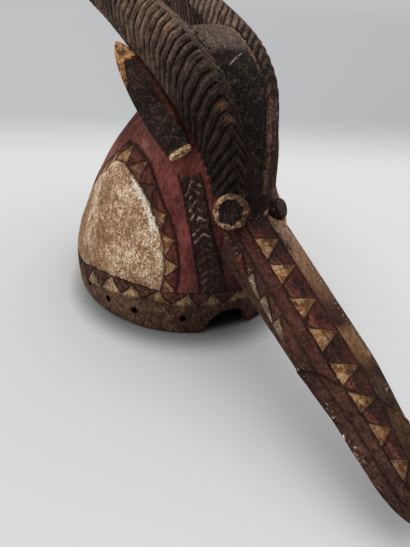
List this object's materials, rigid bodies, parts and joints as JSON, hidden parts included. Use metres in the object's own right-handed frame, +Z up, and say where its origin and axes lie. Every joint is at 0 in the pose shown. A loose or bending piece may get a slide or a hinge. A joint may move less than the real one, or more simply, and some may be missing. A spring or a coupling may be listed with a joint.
{
  "type": "carved antelope helmet mask",
  "caption": "Carved wooden helmet mask with a hollow dome, a long faceted muzzle, ribbed horns swept back, leaf ears and knob eyes.",
  "frame": {"origin": "middle of the bounding box, on the plane that the dome's rim stands on", "axes": "+X towards the muzzle's tip, +Y to the mask's left, +Z up"},
  "size_m": [0.618, 0.2368, 0.3112],
  "materials": {
    "painted_wood": "matt, worn earth pigments over carved wood"
  },
  "bodies": {
    "root": {"antelope_mask": "painted_wood"}
  },
  "joints": []
}
